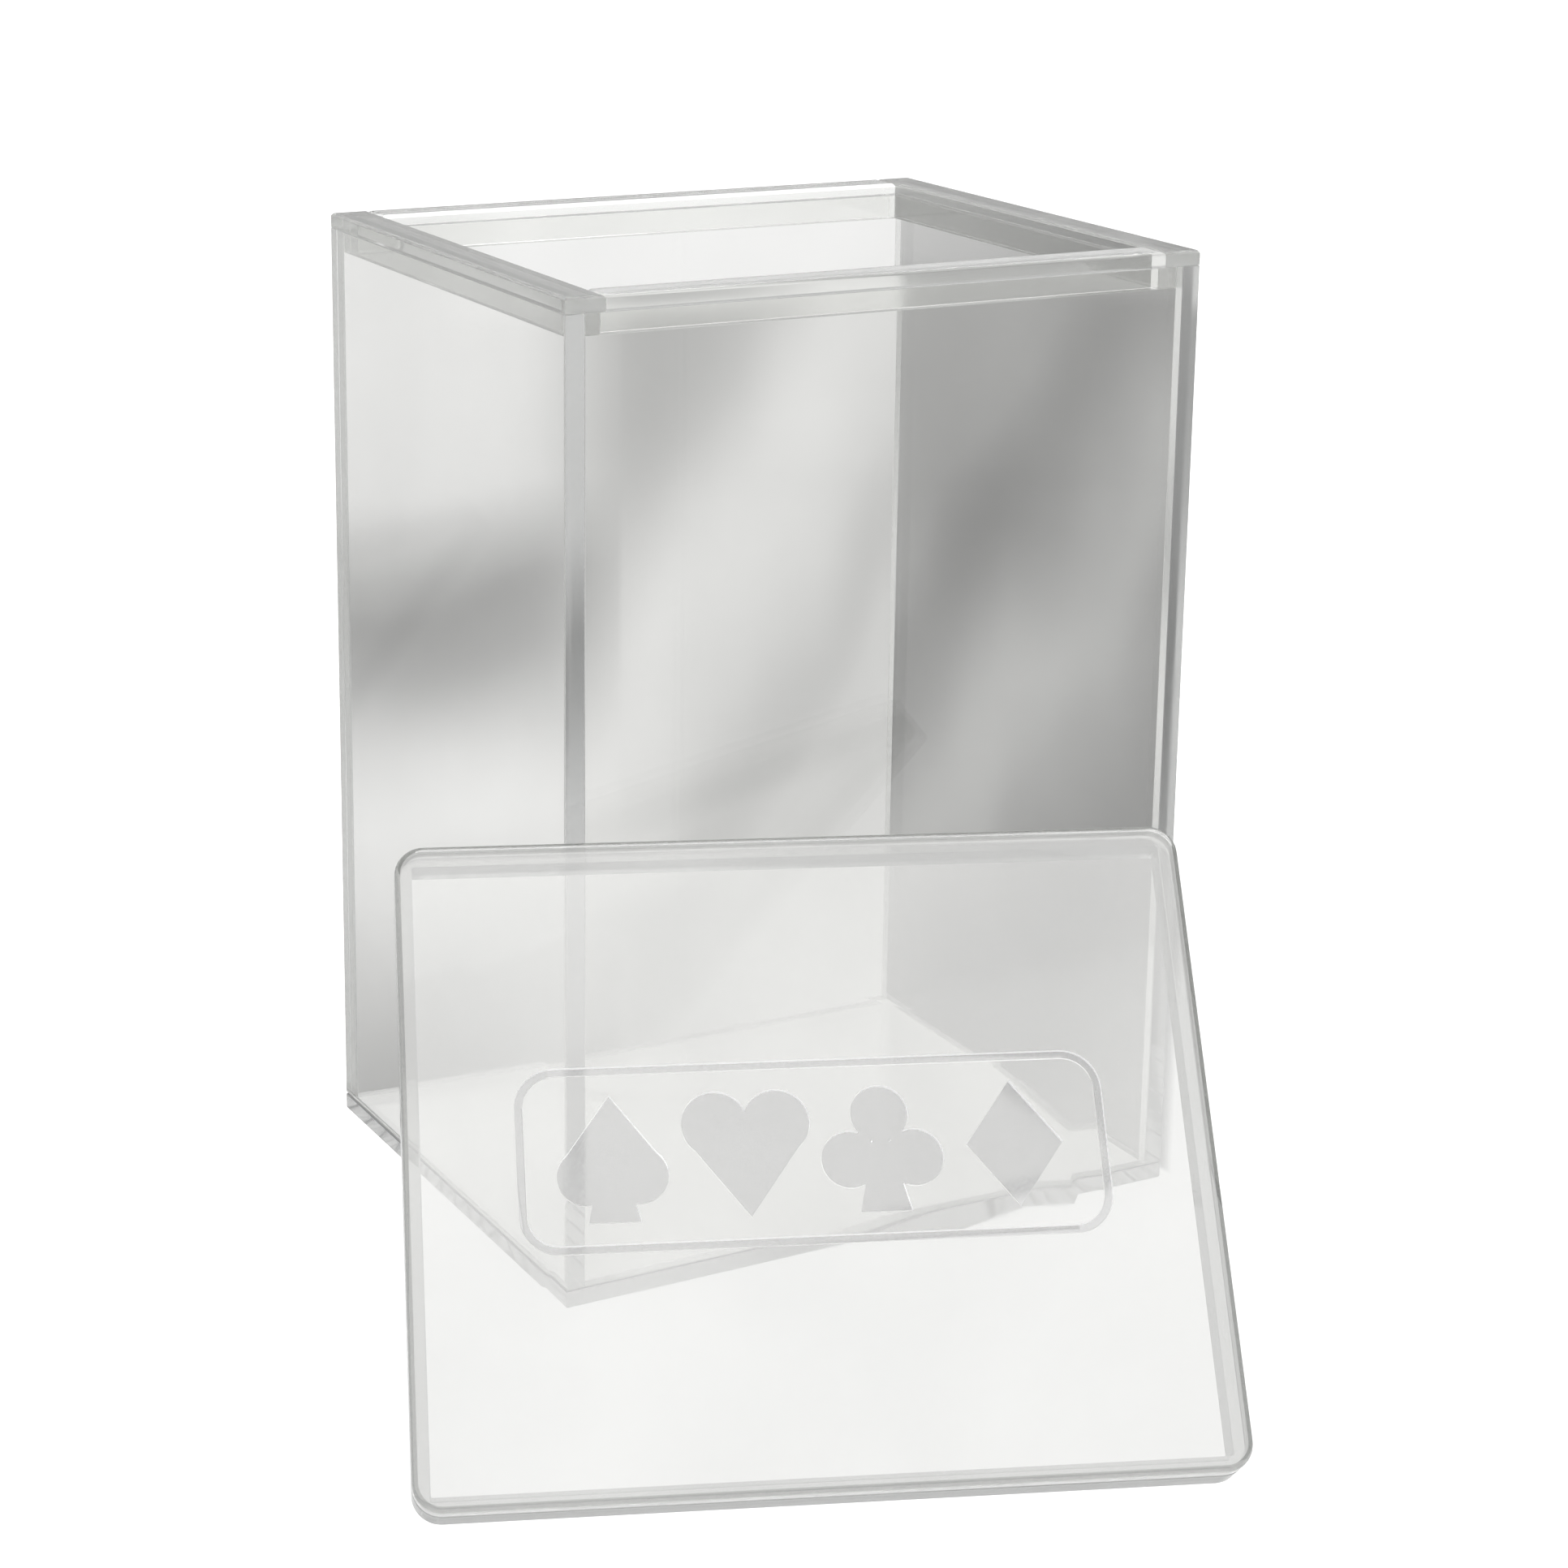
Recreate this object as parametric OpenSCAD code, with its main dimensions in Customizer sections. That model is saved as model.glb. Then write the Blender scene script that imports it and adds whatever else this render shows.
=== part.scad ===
// Clear card deck box: a tall open box of cemented acrylic sheets, a stepped collar
// round its mouth, and a slip-over lid that stands off the box, leaning on it.
// The box stands centred on the origin, with its underside at Z = 0 and its front
// towards -Y. Millimetres, +Z up.

/* [Box] */
// Outside width of the box
box_w = 78; // [74:0.5:90]
// Outside depth of the box
box_d = 63.5; // [50:0.5:80]
// Height of the box to the top of its collar
box_h = 111.8; // [100:0.1:130]
// Thickness of the cemented sheets
sheet_t = 2.2; // [1.8:0.1:3]

/* [Collar] */
// Height of the collar's flange, which caps the walls
flange_h = 1.75; // [1:0.05:2.5]
// Thickness of the collar's skirt, inside the walls
skirt_t = 2.4; // [1.5:0.1:3]
// Depth of the skirt below the tops of the walls
skirt_h = 2.65; // [1.5:0.05:5]

/* [Lid] */
// Gap all round between the box and the lid's rim
lid_gap = 0.3; // [0.2:0.05:0.6]
// Wall thickness of the lid's rim
rim_t = 1.85; // [1.5:0.05:2.5]
// Depth of the rim below the lid's plate
rim_h = 3.6; // [2.5:0.1:3.9]
// Thickness of the lid's plate
plate_t = 2.4; // [2:0.1:3]
// Outer corner radius of the lid
lid_r = 3; // [2:0.1:5]
// Corner radius of the hollow inside the rim
hollow_r = 0.2; // [0.1:0.05:0.5]

/* [Engraving] */
// Depth of the engraving in the lid's top face
engrave_d = 0.5; // [0.2:0.1:0.8]
// Height of one engraved card suit
suit_h = 13; // [8:0.5:16]
// Distance between neighbouring suits
suit_pitch = 13.6; // [13:0.1:15]
// Width of the engraved frame line
frame_line = 0.8; // [0.5:0.1:1.5]
// Distance from the suits to the frame line
frame_margin = 3; // [2:0.5:5]

/* [Resting lid] */
// Lean of the lid, back from upright
lean = 40; // [20:1:50]
// Turn of the lid against the box's front, seen from above
turn = -21.2; // [-30:0.1:-15]
// Where along the lid the box's corner touches it, as a share of its length
contact_share = 0.22; // [0.15:0.01:0.5]
// Gap between the leaning lid and the corner of the box
rest_gap = 0.3; // [0.2:0.1:1]

/* [Hidden] */
$fn = 64;

clear_tint = [0.86, 0.88, 0.87, 0.35];
collar_tint = [0.72, 0.74, 0.73, 0.5];
lid_tint = [0.93, 0.94, 0.93, 0.45];

wall_top = box_h - flange_h;
inner_w = box_w - 2 * sheet_t;
inner_d = box_d - 2 * sheet_t;
collar_t = sheet_t + skirt_t;

// The lid is drawn flat, rim down, with the lowest point of its rim at Z = 0.
lid_w = box_w + 2 * (lid_gap + rim_t);
lid_d = box_d + 2 * (lid_gap + rim_t);
lid_t = rim_h + plate_t;
overcut = 1;

suit_count = 4;
row_w = (suit_count - 1) * suit_pitch + suit_h;
frame_w = row_w + 2 * frame_margin;
frame_d = suit_h + 2 * frame_margin;
frame_r = 4;

// ---- Box ----

// The base sheet, which the four walls stand on.
module floor_panel() {
    color(clear_tint)
        translate([-box_w / 2, -box_d / 2, 0])
            cube([box_w, box_d, sheet_t]);
}

// Front and back walls fit between the side walls.
module cross_wall(y) {
    color(clear_tint)
        translate([-inner_w / 2, y, sheet_t])
            cube([inner_w, sheet_t, wall_top - sheet_t]);
}

// Side walls run the full depth, so their ends show on the front.
module side_wall(x) {
    color(clear_tint)
        translate([x, -box_d / 2, sheet_t])
            cube([sheet_t, box_d, wall_top - sheet_t]);
}

// ---- Collar ----

// Section of a collar strip: X runs inwards from the box's outer face and Y is up.
module collar_section() {
    polygon([
        [0, wall_top],
        [sheet_t, wall_top],
        [sheet_t, wall_top - skirt_h],
        [collar_t, wall_top - skirt_h],
        [collar_t, box_h],
        [0, box_h]
    ]);
}

// A side strip of the collar, on the left. Its ends are rebated over the front and back walls.
module side_collar_left() {
    color(collar_tint)
        difference() {
            translate([-box_w / 2, box_d / 2, 0])
                rotate([90, 0, 0])
                    linear_extrude(height = box_d)
                        collar_section();
            for (side = [-1, 1])
                wall_end_rebate(side);
        }
}

// The space at one end of a side strip that a front or back wall fills.
module wall_end_rebate(side) {
    y = side > 0 ? box_d / 2 - sheet_t : -box_d / 2 - overcut;
    translate([-box_w / 2 - overcut, y, wall_top - skirt_h - overcut])
        cube([collar_t + 2 * overcut, sheet_t + overcut, skirt_h + overcut]);
}

// The front strip of the collar, butted between the side strips.
module cross_collar_front() {
    strip_w = box_w - 2 * collar_t;
    color(collar_tint)
        translate([-strip_w / 2, -box_d / 2, 0])
            rotate([90, 0, 90])
                linear_extrude(height = strip_w)
                    collar_section();
}

// ---- Lid, drawn flat ----

module rounded_rectangle(width, depth, radius) {
    union() {
        square([width - 2 * radius, depth], center = true);
        square([width, depth - 2 * radius], center = true);
        for (x = [-1, 1], y = [-1, 1])
            translate([x * (width / 2 - radius), y * (depth / 2 - radius)])
                circle(r = radius);
    }
}

module lid_plate_flat() {
    difference() {
        translate([0, 0, rim_h])
            linear_extrude(height = plate_t)
                rounded_rectangle(lid_w, lid_d, lid_r);
        translate([0, 0, lid_t - engrave_d])
            linear_extrude(height = engrave_d + overcut)
                engraving();
    }
}

module lid_rim_flat() {
    linear_extrude(height = rim_h)
        difference() {
            rounded_rectangle(lid_w, lid_d, lid_r);
            rounded_rectangle(lid_w - 2 * rim_t, lid_d - 2 * rim_t, hollow_r);
        }
}

// ---- Engraving: the four card suits in a plain frame ----

module engraving() {
    difference() {
        rounded_rectangle(frame_w, frame_d, frame_r);
        rounded_rectangle(frame_w - 2 * frame_line, frame_d - 2 * frame_line,
                          frame_r - frame_line);
    }
    for (i = [0 : suit_count - 1])
        translate([(i - (suit_count - 1) / 2) * suit_pitch, 0])
            suit(i);
}

module suit(index) {
    if (index == 0) spade();
    if (index == 1) heart();
    if (index == 2) club();
    if (index == 3) diamond();
}

// A heart, suit_h high: two round lobes over a V, whose sides enter the lobes
// just short of grazing them.
module heart() {
    lobe_r = suit_h * 0.26;
    lobe_x = lobe_r * 0.92;
    lobe_y = suit_h / 2 - lobe_r;
    tip_y = -suit_h / 2;
    entry_r = lobe_r * 0.97;
    reach = norm([lobe_x, lobe_y - tip_y]);
    half_angle = atan2(lobe_x, lobe_y - tip_y) + asin(entry_r / reach);
    side_length = reach * cos(asin(entry_r / reach));
    side_x = side_length * sin(half_angle);
    side_y = tip_y + side_length * cos(half_angle);
    union() {
        for (side = [-1, 1])
            translate([side * lobe_x, lobe_y])
                circle(r = lobe_r);
        polygon([
            [0, tip_y], [side_x, side_y], [lobe_x, lobe_y + lobe_r / 3],
            [-lobe_x, lobe_y + lobe_r / 3], [-side_x, side_y]
        ]);
    }
}

// The flared foot that a spade and a club stand on.
module suit_stem() {
    foot_x = suit_h * 0.2;
    foot_y = -suit_h / 2;
    neck_x = suit_h * 0.045;
    neck_y = suit_h * 0.15;
    polygon([[-foot_x, foot_y], [foot_x, foot_y], [neck_x, neck_y], [-neck_x, neck_y]]);
}

module spade() {
    leaf = 0.86;
    union() {
        translate([0, suit_h * (1 - leaf) / 2])
            scale([leaf, leaf])
                rotate(180)
                    heart();
        suit_stem();
    }
}

module club() {
    leaf_r = suit_h * 0.225;
    union() {
        translate([0, suit_h / 2 - leaf_r])
            circle(r = leaf_r);
        for (side = [-1, 1])
            translate([side * leaf_r * 1.12, -suit_h * 0.08])
                circle(r = leaf_r);
        suit_stem();
    }
}

module diamond() {
    half_w = suit_h * 0.38;
    polygon([[0, -suit_h / 2], [half_w, 0], [0, suit_h / 2], [-half_w, 0]]);
}

// ---- Lid, where it rests ----

// Stands a flat lid up with its front edge on the ground, leaning back on the
// front left corner of the box: the open edge of its rim is towards the box.
module at_rest() {
    foot_out = lid_d * sin(lean) + rest_gap;
    translate([-box_w / 2, -box_d / 2, 0])
        rotate([0, 0, turn])
            translate([-contact_share * lid_w, -foot_out, 0])
                rotate([90 - lean, 0, 0])
                    translate([lid_w / 2, lid_d / 2, 0])
                        children();
}

module lid_plate() {
    color(lid_tint)
        at_rest()
            lid_plate_flat();
}

module lid_rim() {
    color(lid_tint)
        at_rest()
            lid_rim_flat();
}

// ---- Pieces by name ----

module front_panel() { cross_wall(-box_d / 2); }
module back_panel() { cross_wall(box_d / 2 - sheet_t); }
module left_panel() { side_wall(-box_w / 2); }
module right_panel() { side_wall(box_w / 2 - sheet_t); }
module front_collar() { cross_collar_front(); }
module back_collar() { mirror([0, 1, 0]) cross_collar_front(); }
module left_collar() { side_collar_left(); }
module right_collar() { mirror([1, 0, 0]) side_collar_left(); }

floor_panel();
front_panel();
back_panel();
left_panel();
right_panel();
front_collar();
back_collar();
left_collar();
right_collar();
lid_plate();
lid_rim();
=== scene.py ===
"""Looks of a clear acrylic card deck box: cemented sheets, a stepped collar round the mouth, and a loose lid.

Every sheet stands for the CAD node of the same name. It keeps that node's shape and place, and gains
rounded edges, a hair's breadth of joint, and a clear material. Lengths are in metres.
"""

import math

import bmesh
import bpy
import numpy as np
from mathutils import Matrix, Vector


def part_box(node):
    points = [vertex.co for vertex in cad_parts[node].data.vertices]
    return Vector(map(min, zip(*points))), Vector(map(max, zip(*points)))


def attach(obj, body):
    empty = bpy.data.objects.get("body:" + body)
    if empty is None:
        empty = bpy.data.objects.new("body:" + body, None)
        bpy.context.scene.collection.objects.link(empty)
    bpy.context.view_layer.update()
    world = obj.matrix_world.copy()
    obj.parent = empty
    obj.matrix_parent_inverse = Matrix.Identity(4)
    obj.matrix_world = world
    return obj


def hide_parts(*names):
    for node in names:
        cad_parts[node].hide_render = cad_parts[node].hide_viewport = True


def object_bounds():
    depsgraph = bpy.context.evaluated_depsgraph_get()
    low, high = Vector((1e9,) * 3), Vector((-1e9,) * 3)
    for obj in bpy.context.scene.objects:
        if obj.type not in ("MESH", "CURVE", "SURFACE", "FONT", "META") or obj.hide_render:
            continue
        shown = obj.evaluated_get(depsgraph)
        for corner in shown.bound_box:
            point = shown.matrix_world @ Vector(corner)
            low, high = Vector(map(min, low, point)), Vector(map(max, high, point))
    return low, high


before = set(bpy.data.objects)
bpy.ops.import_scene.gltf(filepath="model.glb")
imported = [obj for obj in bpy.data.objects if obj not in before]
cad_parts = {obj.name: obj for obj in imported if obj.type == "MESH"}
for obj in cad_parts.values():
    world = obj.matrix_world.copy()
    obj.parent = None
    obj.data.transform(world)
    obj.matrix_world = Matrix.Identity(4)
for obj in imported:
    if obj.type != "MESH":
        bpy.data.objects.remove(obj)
CAD_LOW, CAD_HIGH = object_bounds()

MM = 0.001

# ---- The shapes of the sheets ----
WELD = 0.001 * MM
JOINT_GAP = 0.02 * MM
ON_PLANE = 3 * JOINT_GAP
BOX_EDGE = 0.3 * MM
JOINT_EDGE = 0.05 * MM
CEMENT_EDGE = 0.2 * MM
COLLAR_EDGE = 0.4 * MM
LID_EDGE = 0.6 * MM
RIM_EDGE = 0.25 * MM
EDGE_STEPS = 3
SHARP_EDGE = math.radians(30)
CREASE = math.radians(50)
FLAT_EDGE = math.radians(0.5)
FLAT_WEIGHT = 100

# Faces at a corner whose directions differ by less than this count as one, or the corner would fly off.
SAME_DIRECTION = 0.05

# Cosines: above PARALLEL a face's normal lies along a direction, and below ACROSS it stands across it.
# A rounding whose normal leans by more than ROUNDED to both sides of an edge belongs to that edge.
PARALLEL = 0.9
ACROSS = 0.5
ROUNDED = 0.2

# ---- What the sheets are made of. A span is where a noise starts and ends its change ----
ACRYLIC_IOR = 1.49
FILM_CLEARNESS = 0.985
CLOUD_SIZE = 22 * MM
CLOUD_SPAN = (0.35, 0.65)
CLOUD_DEPTH = 0.965
SMUDGE_SIZE = 9 * MM
SMUDGE_SPAN = (0.45, 0.75)
SMUDGE_GAIN = 3
SMUDGE_ROUGHNESS = 0.02
RIPPLE_SIZE = 30 * MM
STILL = 0.005 * MM
RIPPLED = 0.02 * MM
PIT_SIZE = 0.3 * MM
PIT_SPAN = (0.3, 0.7)
PIT_DEPTH = 0.01 * MM
PIT_STRENGTH = 0.1
PIT_CONTRAST = 0.02
PIT_ROUGHNESS = 0.08

# ---- The floor, and the sky from its foot to its top, as (place, grey) ----
FLOOR_REACH = 3.0
FLOOR_DROP = 0.01 * MM
FLOOR_GREY = 0.92
SKY_WHITE = 1.35
SKY_TONES = [
    (0.0, 0.96),
    (0.3, 0.93),
    (0.42, 0.75),
    (0.5, 0.3),
    (0.58, 0.5),
    (0.7, 0.85),
    (1.0, 1.0),
]

# ---- The grey cards. Tones are (place, grey), and fades are at a card's left, right, foot and head ----
CARD_DISTANCE = 30 * MM
CARD_LAYER = 0.5 * MM
CARD_DRIFT = 0.1
DRIFT_SCALE = 3.0
BACK_FOOT = -12.4 * MM
RIGHT_FOOT = -21.4 * MM
CARD_LINE = 90 * MM
CARD_HEAD = 116 * MM
LEFT_END = -100 * MM
UPPER_REACH = 20 * MM
NEAR_REACH = 3 * MM
SEAM = 8 * MM
UPPER_RISE = 20 * MM
LEFT_TONES = [
    (0.0, 0.5),
    (0.27, 0.9),
    (0.37, 0.82),
    (0.44, 0.55),
    (0.5, 0.42),
    (0.55, 0.48),
    (0.64, 0.84),
    (1.0, 0.92),
]
LEFT_FADES = (0.3, 0.01, 0.006, 0.1)
MIDDLE_TONES = [
    (0.0, 0.9),
    (0.28, 0.72),
    (0.34, 0.64),
    (0.42, 0.78),
    (0.54, 0.88),
    (0.63, 0.64),
    (0.75, 0.52),
    (1.0, 0.6),
]
MIDDLE_SLOPE = 0.7
MIDDLE_FADES = (0.35, 0.01, 0.006, 0.1)
RIGHT_TONES = [
    (0.06, 0.42),
    (0.25, 0.26),
    (0.39, 0.38),
    (0.47, 0.5),
    (0.59, 0.27),
    (0.68, 0.33),
    (0.94, 0.5),
]
RIGHT_SLOPE = 0.6
RIGHT_FADES = (0.01, 0.04, 0.006, 0.1)
UPPER_TONES = [(0.0, 0.96), (1.0, 1.0)]
UPPER_FADES = (0.2, 0.01, 0.15, 0.2)
UPPER_RIGHT_TONES = [(0.0, 0.3), (0.45, 0.42), (1.0, 0.68)]
UPPER_RIGHT_SLOPE = 2.0
UPPER_RIGHT_FADES = (0.01, 0.2, 0.15, 0.2)

# ---- The lamps ----
LAMP_AIM = (0, 0, 0.05)
OVERHEAD_PLACE = (0, -0.1, 0.9)
LEFT_PLACE = (-0.8, -0.5, 0.4)

# ---- The camera ----
SENSOR = 36.0
LENS = 80.6
CAMERA_AZIMUTH = math.radians(-29.03)
CAMERA_ELEVATION = math.radians(14.75)
CAMERA_ROLL = math.radians(0.89)
CAMERA_DISTANCE = 374.6 * MM
AIM_ACROSS = 0.330
AIM_UP = 0.689
VIEW_SHIFT = -0.115

PANELS = ["floor_panel", "front_panel", "back_panel", "left_panel", "right_panel"]
COLLARS = ["front_collar", "back_collar", "left_collar", "right_collar"]


# ---- Node helpers ----


def new_material(name):
    """An empty node material, and a function that adds a node to it with its values set."""
    material = bpy.data.materials.new(name)
    material.use_nodes = True
    tree = material.node_tree
    tree.nodes.clear()
    return material, tree, node_adder(tree)


def node_adder(tree):
    def add(kind, **values):
        node = tree.nodes.new(kind)
        for key, value in values.items():
            socket = key.replace("_", " ").title()
            if socket in node.inputs:
                node.inputs[socket].default_value = value
            else:
                setattr(node, key, value)
        return node

    return add


def fed_by_place(tree, add, texture):
    """Lays a texture out in the object's own metres, so that it never slides."""
    place = add("ShaderNodeTexCoord")
    tree.links.new(place.outputs["Object"], texture.inputs["Vector"])
    return texture


def noise(tree, add, size, detail=2.0, roughness=0.5):
    """Noise whose features are about that size, in metres."""
    texture = add("ShaderNodeTexNoise", scale=1 / size, detail=detail, roughness=roughness)
    return fed_by_place(tree, add, texture)


def ramp(tree, add, source, stops):
    """Runs a value through a colour ramp given as (position, colour) pairs."""
    node = add("ShaderNodeValToRGB")
    elements = node.color_ramp.elements
    while len(elements) < len(stops):
        elements.new(0.5)
    for element, (position, colour) in zip(elements, stops):
        element.position = position
        element.color = (*colour, 1)
    tree.links.new(source, node.inputs["Fac"])
    return node.outputs["Color"]


def grey(value):
    return (value, value, value)


# ---- Materials ----


def clear_acrylic(name, tint, haze, gloss, wave):
    """Cast acrylic. tint is what one sheet lets through, haze the share of milky scatter, gloss the
    roughness of a clean patch, and wave the height of the sheet's slow ripple."""
    material, tree, add = new_material(name)
    links = tree.links

    acrylic = add("ShaderNodeBsdfPrincipled")
    acrylic.inputs["Transmission Weight"].default_value = 1 - haze
    acrylic.inputs["IOR"].default_value = ACRYLIC_IOR

    cloud = noise(tree, add, CLOUD_SIZE, detail=3)
    deeper = tuple(channel * CLOUD_DEPTH for channel in tint)
    tints = zip(CLOUD_SPAN, (deeper, tint))
    links.new(ramp(tree, add, cloud.outputs["Fac"], list(tints)), acrylic.inputs["Base Color"])

    smudge = noise(tree, add, SMUDGE_SIZE, detail=6, roughness=0.65)
    smudged = gloss * SMUDGE_GAIN + SMUDGE_ROUGHNESS
    glosses = zip(SMUDGE_SPAN, (grey(gloss), grey(smudged)))
    links.new(ramp(tree, add, smudge.outputs["Fac"], list(glosses)), acrylic.inputs["Roughness"])

    ripple = noise(tree, add, RIPPLE_SIZE, detail=1)
    bump = add("ShaderNodeBump", strength=1.0, distance=wave)
    links.new(ripple.outputs["Fac"], bump.inputs["Height"])
    links.new(bump.outputs["Normal"], acrylic.inputs["Normal"])

    lets_light_through(tree, add, acrylic)
    return material


def lets_light_through(tree, add, shader):
    """Lamps and soft light cross the sheet as through a thin film, so it hardly darkens what is behind it."""
    path = add("ShaderNodeLightPath")
    either = add("ShaderNodeMath", operation="MAXIMUM")
    tree.links.new(path.outputs["Is Shadow Ray"], either.inputs[0])
    tree.links.new(path.outputs["Is Diffuse Ray"], either.inputs[1])
    film = add("ShaderNodeBsdfTransparent")
    film.inputs["Color"].default_value = (*grey(FILM_CLEARNESS), 1)
    mix = add("ShaderNodeMixShader")
    tree.links.new(either.outputs["Value"], mix.inputs["Fac"])
    tree.links.new(shader.outputs["BSDF"], mix.inputs[1])
    tree.links.new(film.outputs["BSDF"], mix.inputs[2])
    output = add("ShaderNodeOutputMaterial")
    tree.links.new(mix.outputs["Shader"], output.inputs["Surface"])


def frosted_acrylic(name, shade, scatter, roughness):
    """Ground acrylic with a fine white grain. shade is its grey, and scatter the share of light it stops."""
    material, tree, add = new_material(name)
    links = tree.links

    frost = add("ShaderNodeBsdfPrincipled")
    frost.inputs["Transmission Weight"].default_value = 1 - scatter
    frost.inputs["IOR"].default_value = ACRYLIC_IOR

    pits = noise(tree, add, PIT_SIZE, detail=2)
    shades = zip(PIT_SPAN, (grey(shade - PIT_CONTRAST), grey(shade + PIT_CONTRAST)))
    links.new(ramp(tree, add, pits.outputs["Fac"], list(shades)), frost.inputs["Base Color"])
    glosses = zip(PIT_SPAN, (grey(roughness), grey(roughness + PIT_ROUGHNESS)))
    links.new(ramp(tree, add, pits.outputs["Fac"], list(glosses)), frost.inputs["Roughness"])
    bump = add("ShaderNodeBump", strength=PIT_STRENGTH, distance=PIT_DEPTH)
    links.new(pits.outputs["Fac"], bump.inputs["Height"])
    links.new(bump.outputs["Normal"], frost.inputs["Normal"])

    lets_light_through(tree, add, frost)
    return material


# ---- Mesh helpers ----


def corner_offset(vertex, distance):
    """How far to move a corner so that each flat face round it sinks by that distance."""
    normals = np.array([face.normal for face in vertex.link_faces])
    return Vector(np.linalg.lstsq(normals, np.full(len(normals), -distance), rcond=SAME_DIRECTION)[0])


def sunk_copy(node_name):
    """A copy of a CAD node's mesh as whole flat faces, drawn in by the joint gap all over."""
    mesh = bmesh.new()
    mesh.from_mesh(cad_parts[node_name].data)
    bmesh.ops.remove_doubles(mesh, verts=mesh.verts, dist=WELD)
    bmesh.ops.dissolve_limit(mesh, angle_limit=FLAT_EDGE, verts=mesh.verts, edges=mesh.edges)
    mesh.normal_update()
    offsets = [corner_offset(vertex, JOINT_GAP) for vertex in mesh.verts]
    for vertex, offset in zip(mesh.verts, offsets):
        vertex.co += offset
    return mesh


def sharp_edges(mesh):
    return [
        edge
        for edge in mesh.edges
        if edge.is_manifold and edge.calc_face_angle() > SHARP_EDGE
    ]


def round_edges(mesh, edges, width, material=-1):
    """Rounds these edges, as polishing does. A rounding takes the material beside it, or the one given."""
    bmesh.ops.bevel(
        mesh,
        geom=edges,
        offset=width,
        offset_type="OFFSET",
        segments=EDGE_STEPS,
        profile=0.5,
        affect="EDGES",
        material=material,
        clamp_overlap=True,
    )


def free_planes():
    """The planes that hold the box's bare faces, as (axis, place): its outside and its mouth."""
    low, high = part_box("floor_panel")
    strip_low, strip_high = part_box("front_collar")
    strip = strip_high.y - strip_low.y
    planes = [(2, low.z), (2, strip_high.z)]
    for axis in (0, 1):
        for inset in (0, strip):
            planes.append((axis, low[axis] + inset))
            planes.append((axis, high[axis] - inset))
    return planes


def is_bare(face, planes):
    middle = face.calc_center_median()
    for axis, place in planes:
        if abs(face.normal[axis]) > PARALLEL and abs(middle[axis] - place) < ON_PLANE:
            return True
    return False


def round_box_piece(mesh, width, cement=-1):
    """Rounds the edges between bare faces well, and only breaks those at a cemented joint.

    A material given as cement lines the joint between the walls and the floor.
    """
    planes = free_planes()
    floor_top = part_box("floor_panel")[1].z
    bare_edges = []
    joint_edges = []
    floor_edges = []
    for edge in sharp_edges(mesh):
        if all(is_bare(face, planes) for face in edge.link_faces):
            bare_edges.append(edge)
        elif all(abs(vertex.co.z - floor_top) < ON_PLANE for vertex in edge.verts):
            floor_edges.append(edge)
        else:
            joint_edges.append(edge)
    round_edges(mesh, joint_edges, JOINT_EDGE)
    floor_edges = [edge for edge in floor_edges if edge.is_valid]
    round_edges(mesh, floor_edges, CEMENT_EDGE, cement)
    mesh.normal_update()
    bare_edges = [edge for edge in bare_edges if edge.is_valid]
    round_edges(mesh, bare_edges, width)


def keep_flats_flat(piece):
    """Lets the big flat faces set the normals, so that only the rounded edges bend light."""
    flats = piece.modifiers.new("flats", "WEIGHTED_NORMAL")
    flats.mode = "FACE_AREA"
    flats.weight = FLAT_WEIGHT
    flats.keep_sharp = True


def finished_piece(name, mesh, materials, body, slot, *nodes):
    """Makes an object of the mesh, which rides on a body and stands for CAD nodes."""
    data = bpy.data.meshes.new(name)
    mesh.normal_update()
    mesh.to_mesh(data)
    mesh.free()
    data.shade_smooth()
    data.set_sharp_from_angle(angle=CREASE)
    for material in materials:
        data.materials.append(material)
    piece = bpy.data.objects.new(name, data)
    bpy.context.scene.collection.objects.link(piece)
    keep_flats_flat(piece)
    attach(piece, body)
    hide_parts(*nodes)


# ---- The box ----


def make_panel(node_name, materials):
    """A sheet: clear faces, greyer cut edges, hazy glued ones, and cement where a wall meets the floor."""
    cut, glued, cement = 1, 2, 3
    mesh = sunk_copy(node_name)
    low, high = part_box(node_name)
    sides = high - low
    thin = min(range(3), key=lambda axis: sides[axis])
    planes = free_planes()
    for face in mesh.faces:
        if abs(face.normal[thin]) < ACROSS:
            face.material_index = cut if is_bare(face, planes) else glued
    round_box_piece(mesh, BOX_EDGE, cement)
    finished_piece(node_name + "_sheet", mesh, materials, "box", "clear_sheet", node_name)


def make_collar(node_name, materials):
    """A strip of the collar. The inner top edges of the front and back strips are bright lines: a painted
    highlight where a lamp would glint.
    """
    bright = 1
    mesh = sunk_copy(node_name)
    round_box_piece(mesh, COLLAR_EDGE)
    mesh.normal_update()
    low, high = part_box(node_name)
    inwards = -math.copysign(1, low.y + high.y)
    if high.x - low.x > high.y - low.y:
        for face in mesh.faces:
            # Faces leaning up and inwards get the near-white painted highlight.
            if min(face.normal.z, inwards * face.normal.y) > ROUNDED:
                face.material_index = bright
    finished_piece(node_name + "_strip", mesh, materials, "box", "collar_strip", node_name)


# ---- The lid ----


def lid_outwards():
    """The direction out of the lid's engraved face."""
    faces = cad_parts["lid_plate"].data.polygons
    normal = max(faces, key=lambda face: face.area).normal.copy()
    rim_low, rim_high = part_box("lid_rim")
    plate_low, plate_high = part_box("lid_plate")
    outwards = (plate_low + plate_high) - (rim_low + rim_high)
    if normal.dot(outwards) < 0:
        normal.negate()
    return normal


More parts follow.
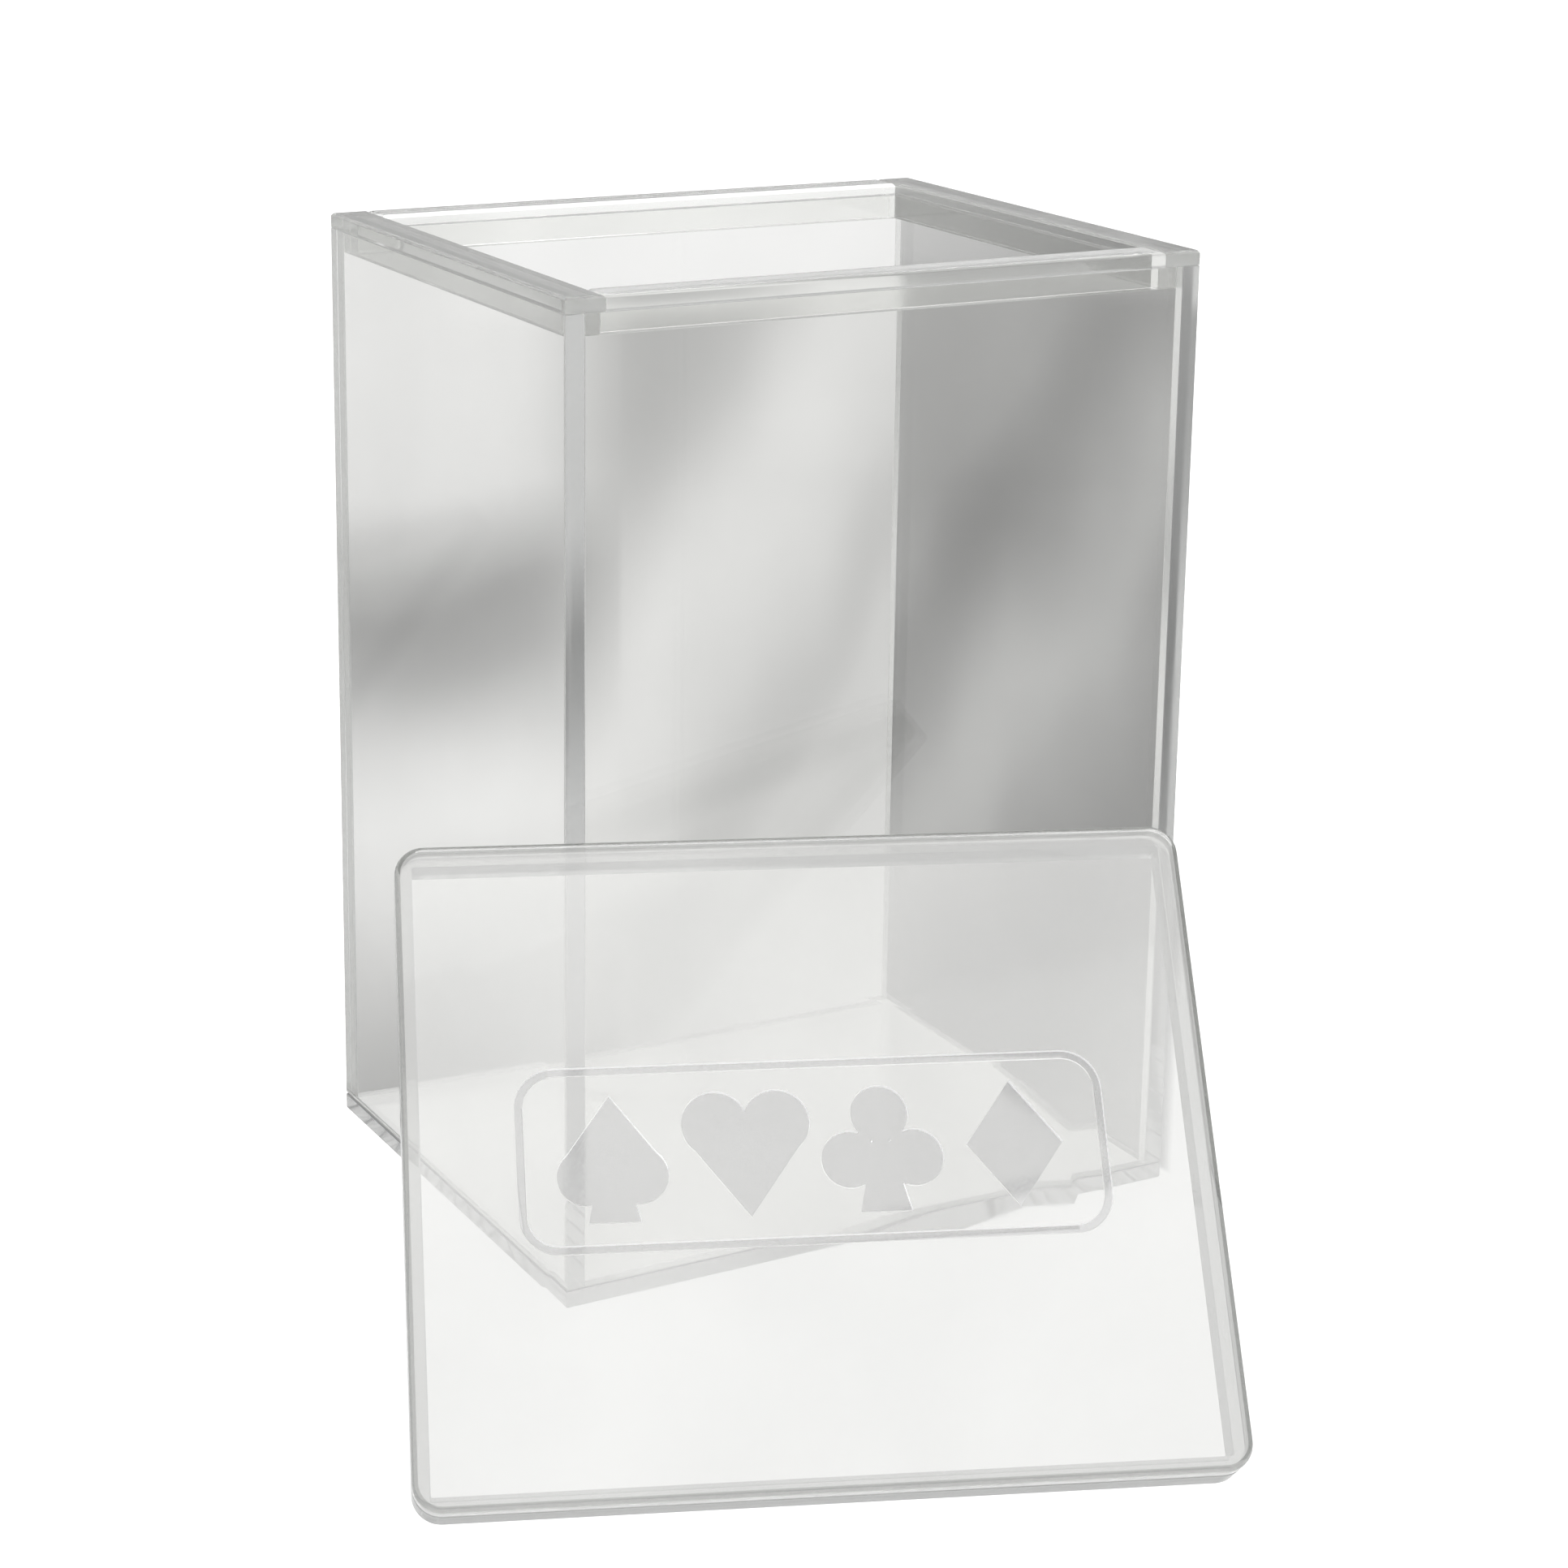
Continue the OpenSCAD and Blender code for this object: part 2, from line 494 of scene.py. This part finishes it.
def make_lid_plate(materials):
    """The plate: milky faces, clear edges tinted darker as painted shade, and an engraving with a grey floor
    and bright walls, whose white is frosting and partly a painted highlight.
    """
    milky, clear, ground_floor, frost_highlight_wall = range(4)
    out = lid_outwards()
    mesh = sunk_copy("lid_plate")
    heights = [vertex.co.dot(out) for vertex in mesh.verts]
    top, bottom = max(heights), min(heights)
    middle = (top + bottom) / 2
    cuts = [face for face in mesh.faces if is_cut(face, out, top, middle)]
    outside = [edge for edge in sharp_edges(mesh) if not any(face in cuts for face in edge.link_faces)]
    # Edges take the clear acrylic darkened as painted shade, and the engraving's walls take frost brightened
    # as a painted highlight.
    for face in mesh.faces:
        level = abs(face.normal.dot(out)) > PARALLEL
        if face in cuts:
            face.material_index = ground_floor if level else frost_highlight_wall
        else:
            face.material_index = milky if level else clear
    round_edges(mesh, outside, LID_EDGE, clear)
    finished_piece("lid_plate_sheet", mesh, materials, "lid", "lid_sheet", "lid_plate")


def is_cut(face, out, top, middle):
    """True for a floor or wall of the engraving, which lies in the plate's upper half, under its top face."""
    heights = [vertex.co.dot(out) for vertex in face.verts]
    return min(heights) > middle and min(heights) < top - JOINT_GAP


def make_lid_rim(materials):
    """The frame under the plate. Its faces are tinted darker as painted shade, and the walls round its hollow
    are greyer still, nearly black, as a painted dark reflection.
    """
    greyer = 1
    out = lid_outwards()
    mesh = sunk_copy("lid_rim")
    middle = sum((vertex.co for vertex in mesh.verts), Vector()) / len(mesh.verts)
    # The walls round the hollow get the nearly black painted reflection.
    for face in mesh.faces:
        inwards = face.normal.dot(middle - face.calc_center_median()) > 0
        if inwards and abs(face.normal.dot(out)) < ACROSS:
            face.material_index = greyer
    round_edges(mesh, sharp_edges(mesh), RIM_EDGE)
    finished_piece("lid_rim_frame", mesh, materials, "lid", "lid_frame", "lid_rim")


# ---- Floor, light and camera ----


def square_mesh(name, corners):
    mesh = bpy.data.meshes.new(name)
    mesh.from_pydata(corners, [], [(0, 1, 2, 3)])
    return mesh


def make_floor():
    """A plain pale floor, which the sheets don't show or reflect: they show the cards and the sky."""
    signs = [(-1, -1), (1, -1), (1, 1), (-1, 1)]
    mesh = square_mesh("floor", [(FLOOR_REACH * x, FLOOR_REACH * y, -FLOOR_DROP) for x, y in signs])
    floor = bpy.data.objects.new("floor", mesh)
    bpy.context.scene.collection.objects.link(floor)
    material, tree, add = new_material("pale_floor")
    matte = add("ShaderNodeBsdfDiffuse", color=(*grey(FLOOR_GREY), 1))
    output = add("ShaderNodeOutputMaterial")
    tree.links.new(matte.outputs["BSDF"], output.inputs["Surface"])
    mesh.materials.append(material)
    floor.visible_transmission = False
    floor.visible_glossy = False


def make_world():
    """A white studio for the camera and for soft light, whose greys show only in the sheets."""
    world = bpy.data.worlds.new("studio")
    bpy.context.scene.world = world
    world.use_nodes = True
    tree = world.node_tree
    tree.nodes.clear()
    add = node_adder(tree)
    place = add("ShaderNodeTexCoord")
    split = add("ShaderNodeSeparateXYZ")
    tree.links.new(place.outputs["Generated"], split.inputs["Vector"])
    height = add("ShaderNodeMapRange")
    height.inputs["From Min"].default_value = -1
    height.inputs["From Max"].default_value = 1
    tree.links.new(split.outputs["Z"], height.inputs["Value"])
    sky = ramp(tree, add, height.outputs["Result"], [(at, grey(value)) for at, value in SKY_TONES])
    seen = add("ShaderNodeBackground", strength=1.0)
    tree.links.new(sky, seen.inputs["Color"])
    white = add("ShaderNodeBackground", strength=SKY_WHITE)
    white.inputs["Color"].default_value = (1, 1, 1, 1)
    path = add("ShaderNodeLightPath")
    either = add("ShaderNodeMath", operation="MAXIMUM")
    tree.links.new(path.outputs["Is Camera Ray"], either.inputs[0])
    tree.links.new(path.outputs["Is Diffuse Ray"], either.inputs[1])
    mix = add("ShaderNodeMixShader")
    tree.links.new(either.outputs["Value"], mix.inputs["Fac"])
    tree.links.new(seen.outputs["Background"], mix.inputs[1])
    tree.links.new(white.outputs["Background"], mix.inputs[2])
    output = add("ShaderNodeOutputWorld")
    tree.links.new(mix.outputs["Shader"], output.inputs["Surface"])


def card_tone(name, stops, fades, slope=0.0):
    """A grey that changes up a card with corners (0, 0) and (1, 1). Its bands rise by slope across it."""
    material, tree, add = new_material(name)
    place = add("ShaderNodeTexCoord")
    along = add("ShaderNodeVectorMath", operation="DOT_PRODUCT")
    along.inputs[1].default_value = (-slope / (1 + slope), 1 / (1 + slope), 0)
    tree.links.new(place.outputs["Object"], along.inputs[0])
    drift = add("ShaderNodeTexNoise", scale=DRIFT_SCALE, detail=1.0)
    tree.links.new(place.outputs["Object"], drift.inputs["Vector"])
    start = add("ShaderNodeMath", operation="ADD")
    start.inputs[1].default_value = slope / (1 + slope) - CARD_DRIFT / 2
    tree.links.new(along.outputs["Value"], start.inputs[0])
    wander = add("ShaderNodeMath", operation="MULTIPLY_ADD")
    wander.inputs[1].default_value = CARD_DRIFT
    tree.links.new(drift.outputs["Fac"], wander.inputs[0])
    tree.links.new(start.outputs["Value"], wander.inputs[2])
    tone = ramp(tree, add, wander.outputs["Value"], [(at, grey(value)) for at, value in stops])
    tone.node.color_ramp.interpolation = "CARDINAL"
    glow = add("ShaderNodeEmission")
    tree.links.new(tone, glow.inputs["Color"])
    nothing = add("ShaderNodeBsdfTransparent")
    mix = add("ShaderNodeMixShader")
    tree.links.new(border_mask(tree, add, place.outputs["Object"], fades), mix.inputs["Fac"])
    tree.links.new(nothing.outputs["BSDF"], mix.inputs[1])
    tree.links.new(glow.outputs["Emission"], mix.inputs[2])
    output = add("ShaderNodeOutputMaterial")
    tree.links.new(mix.outputs["Shader"], output.inputs["Surface"])
    return material


def border_mask(tree, add, place, fades):
    """0 at a card's border and 1 inside it. fades are the soft widths at its borders, as shares of it."""
    split = add("ShaderNodeSeparateXYZ")
    tree.links.new(place, split.inputs["Vector"])
    mask = None
    for axis, border, inwards, width in zip("XXYY", (0, 1, 0, 1), (1, -1, 1, -1), fades):
        edge = add("ShaderNodeMapRange", interpolation_type="SMOOTHSTEP")
        edge.inputs["From Min"].default_value = border
        edge.inputs["From Max"].default_value = border + inwards * width
        tree.links.new(split.outputs[axis], edge.inputs["Value"])
        if mask is None:
            mask = edge.outputs["Result"]
            continue
        both = add("ShaderNodeMath", operation="MULTIPLY")
        tree.links.new(mask, both.inputs[0])
        tree.links.new(edge.outputs["Result"], both.inputs[1])
        mask = both.outputs["Value"]
    return mask


def make_card(name, corner, across, up, tone):
    """A grey card just outside the box, which only shows through the sheets and in their gloss."""
    mesh = square_mesh(name, [(0, 0, 0), (1, 0, 0), (1, 1, 0), (0, 1, 0)])
    mesh.materials.append(tone)
    card = bpy.data.objects.new(name, mesh)
    bpy.context.scene.collection.objects.link(card)
    across, up = Vector(across), Vector(up)
    facing = across.cross(up).normalized()
    card.matrix_world = Matrix.Translation(corner) @ Matrix((across, up, facing)).transposed().to_4x4()
    card.visible_camera = False
    card.visible_diffuse = False
    card.visible_shadow = False


def make_cards():
    """Cards behind the box and beside it, in the soft greys that its walls are seen against.

    Each ends on a sight line past a corner of the box, and the upper ones show through its mouth.
    """
    box_low, box_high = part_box("floor_panel")
    eye = camera_place()
    back_y = box_high.y + CARD_DISTANCE
    right_x = box_high.x + CARD_DISTANCE

    def sight_x(corner_x, corner_y):
        return eye.x + (corner_x - eye.x) * (back_y - eye.y) / (corner_y - eye.y)

    def sight_y(corner_x, corner_y):
        return eye.y + (corner_y - eye.y) * (right_x - eye.x) / (corner_x - eye.x)

    split_x = sight_x(box_low.x, box_low.y)
    right_end = sight_x(box_high.x, box_high.y)
    right_start = sight_y(box_high.x, box_high.y)
    near_end = sight_y(box_high.x, box_low.y) - NEAR_REACH
    back_level = (0, 0, CARD_HEAD - BACK_FOOT)
    right_level = (0, 0, CARD_HEAD - RIGHT_FOOT)
    head = (0, 0, CARD_HEAD - CARD_LINE)
    make_card(
        "left_card",
        (LEFT_END, back_y, BACK_FOOT),
        (split_x + SEAM - LEFT_END, 0, 0),
        back_level,
        card_tone("left_card", LEFT_TONES, LEFT_FADES),
    )
    make_card(
        "middle_card",
        (split_x - SEAM, back_y - CARD_LAYER, BACK_FOOT),
        (right_end - split_x + SEAM, 0, 0),
        back_level,
        card_tone("middle_card", MIDDLE_TONES, MIDDLE_FADES, MIDDLE_SLOPE),
    )
    make_card(
        "right_card",
        (right_x, right_start, RIGHT_FOOT),
        (0, near_end - right_start, 0),
        right_level,
        card_tone("right_card", RIGHT_TONES, RIGHT_FADES, RIGHT_SLOPE),
    )
    make_card(
        "upper_card",
        (split_x - UPPER_REACH, back_y - 2 * CARD_LAYER, CARD_LINE),
        (right_end - split_x + UPPER_REACH, 0, 0),
        head,
        card_tone("upper_card", UPPER_TONES, UPPER_FADES),
    )
    make_card(
        "upper_right_card",
        (right_x - CARD_LAYER, right_start, CARD_LINE),
        (0, box_low.y - right_start, UPPER_RISE),
        head,
        card_tone("upper_right_card", UPPER_RIGHT_TONES, UPPER_RIGHT_FADES, UPPER_RIGHT_SLOPE),
    )


def area_light(name, location, width, height, power):
    """A soft lamp, aimed at the middle of the box, that neither shows nor glints in the sheets."""
    data = bpy.data.lights.new(name, "AREA")
    data.shape = "RECTANGLE"
    data.size = width
    data.size_y = height
    data.energy = power
    light = bpy.data.objects.new(name, data)
    bpy.context.scene.collection.objects.link(light)
    light.location = location
    light.rotation_euler = (Vector(LAMP_AIM) - Vector(location)).to_track_quat("-Z", "Y").to_euler()
    light.visible_camera = False
    light.visible_glossy = False


def camera_back():
    """The direction from what the camera looks at towards the camera."""
    return Vector((
        math.sin(CAMERA_AZIMUTH) * math.cos(CAMERA_ELEVATION),
        -math.cos(CAMERA_AZIMUTH) * math.cos(CAMERA_ELEVATION),
        math.sin(CAMERA_ELEVATION),
    ))


def camera_place():
    """In front of the box and to its left, looking slightly down at a point of its front face."""
    box_low, box_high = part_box("floor_panel")
    aim = Vector((
        box_low.x + AIM_ACROSS * (box_high.x - box_low.x),
        box_low.y,
        AIM_UP * CAD_HIGH[2],
    ))
    return aim + camera_back() * CAMERA_DISTANCE


def make_camera():
    back = camera_back()
    right = Vector((math.cos(CAMERA_AZIMUTH), math.sin(CAMERA_AZIMUTH), 0))
    up = back.cross(right)
    rolled_right = right * math.cos(CAMERA_ROLL) + up * math.sin(CAMERA_ROLL)
    rolled_up = up * math.cos(CAMERA_ROLL) - right * math.sin(CAMERA_ROLL)
    data = bpy.data.cameras.new("camera")
    data.sensor_width = SENSOR
    data.lens = LENS
    data.shift_y = VIEW_SHIFT
    data.clip_start = 1 * MM
    camera = bpy.data.objects.new("camera", data)
    bpy.context.scene.collection.objects.link(camera)
    turn = Matrix((rolled_right, rolled_up, back)).transposed().to_4x4()
    camera.matrix_world = Matrix.Translation(camera_place()) @ turn
    bpy.context.scene.camera = camera


def set_light_paths():
    """Enough bounces to see through a stack of sheets, and a plain view transform that keeps white white."""
    scene = bpy.context.scene
    scene.cycles.max_bounces = 64
    scene.cycles.transmission_bounces = 64
    scene.cycles.glossy_bounces = 32
    scene.cycles.transparent_max_bounces = 32
    scene.cycles.sample_clamp_indirect = 8
    scene.cycles.use_denoising = True
    scene.view_settings.view_transform = "Standard"


clear_sheet = clear_acrylic("clear_sheet", (0.935, 0.935, 0.925), haze=0.0, gloss=0.01, wave=RIPPLED)
front_strip = clear_acrylic("front_strip", (0.95, 0.955, 0.94), haze=0.04, gloss=0.05, wave=STILL)
# The side strips are the same acrylic as the front ones, tinted darker as painted shade.
side_strip_shaded = clear_acrylic("side_strip_shaded", (0.6, 0.605, 0.59), haze=0.04, gloss=0.05, wave=STILL)
lid_milky = clear_acrylic("lid_milky", (0.81, 0.81, 0.8), haze=0.22, gloss=0.02, wave=RIPPLED)
# Painted shade: the lid's edges and the rim's sides are tinted dark, in place of the dark lines reflected at
# its edges.
lid_edge_shaded = clear_acrylic("lid_edge_shaded", (0.58, 0.585, 0.575), haze=0.03, gloss=0.02, wave=STILL)
cut_edge = clear_acrylic("cut_edge", (0.62, 0.625, 0.615), haze=0.04, gloss=0.03, wave=STILL)
# Painted reflection: the rim's inner walls are nearly black, standing in for the dark surroundings they would
# mirror.
hollow_wall_painted_dark = clear_acrylic("hollow_wall_painted_dark", (0.1, 0.105, 0.1), haze=0.25, gloss=0.05, wave=STILL)
glued_edge = clear_acrylic("glued_edge", (0.42, 0.425, 0.415), haze=0.55, gloss=0.05, wave=STILL)
cement_line = frosted_acrylic("cement_line", 0.22, scatter=0.6, roughness=0.4)
# Painted highlight: near-white frost on the collars' inner top edges stands in for a glint of light.
painted_highlight_edge = frosted_acrylic("painted_highlight_edge", 0.96, scatter=0.75, roughness=0.3)
engraved_floor = frosted_acrylic("engraved_floor", 0.6, scatter=0.22, roughness=0.12)
# The engraving's walls are frosted, and near white as a painted highlight along the edges of the cut.
engraved_wall_frost_highlight = frosted_acrylic("engraved_wall_frost_highlight", 0.92, scatter=0.7, roughness=0.3)

for panel in PANELS:
    make_panel(panel, [clear_sheet, cut_edge, glued_edge, cement_line])
for collar, strip in zip(COLLARS, [front_strip, front_strip, side_strip_shaded, side_strip_shaded]):
    make_collar(collar, [strip, painted_highlight_edge])
make_lid_plate([lid_milky, lid_edge_shaded, engraved_floor, engraved_wall_frost_highlight])
make_lid_rim([lid_edge_shaded, hollow_wall_painted_dark])

make_floor()
make_world()
make_cards()
area_light("overhead_softbox", OVERHEAD_PLACE, width=0.8, height=0.8, power=3)
area_light("left_softbox", LEFT_PLACE, width=0.3, height=0.7, power=1.5)
make_camera()
set_light_paths()
